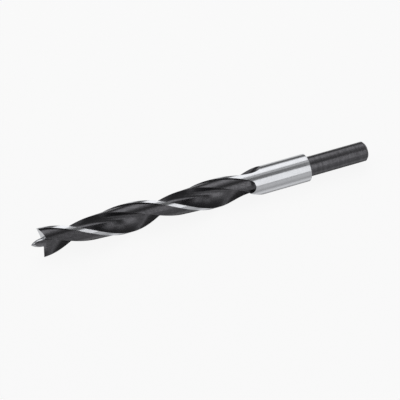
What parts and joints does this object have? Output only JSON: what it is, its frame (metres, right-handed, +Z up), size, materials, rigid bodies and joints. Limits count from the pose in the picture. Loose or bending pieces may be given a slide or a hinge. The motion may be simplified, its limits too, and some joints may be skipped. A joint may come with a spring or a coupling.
{
  "type": "brad point drill bit",
  "caption": "Drill bit for wood: a centre spike between outer spurs, helical flutes with ground margins, a plain body and a reduced round shank for a chuck.",
  "frame": {"origin": "under the middle of the bit's length, on the surface it lies on", "axes": "+X along the bit's axis from the point towards the shank, +Z up"},
  "size_m": [0.175, 0.014, 0.014],
  "materials": {
    "black_steel": "black oxide with a soft sheen, in the flutes, on the cleared backs and on the shank",
    "ground_steel": "bright ground steel with a fine grain around the bit, on the margins, the plain body, the flanks and the spike"
  },
  "bodies": {
    "root": {"drill_bit": "black_steel"}
  },
  "joints": []
}
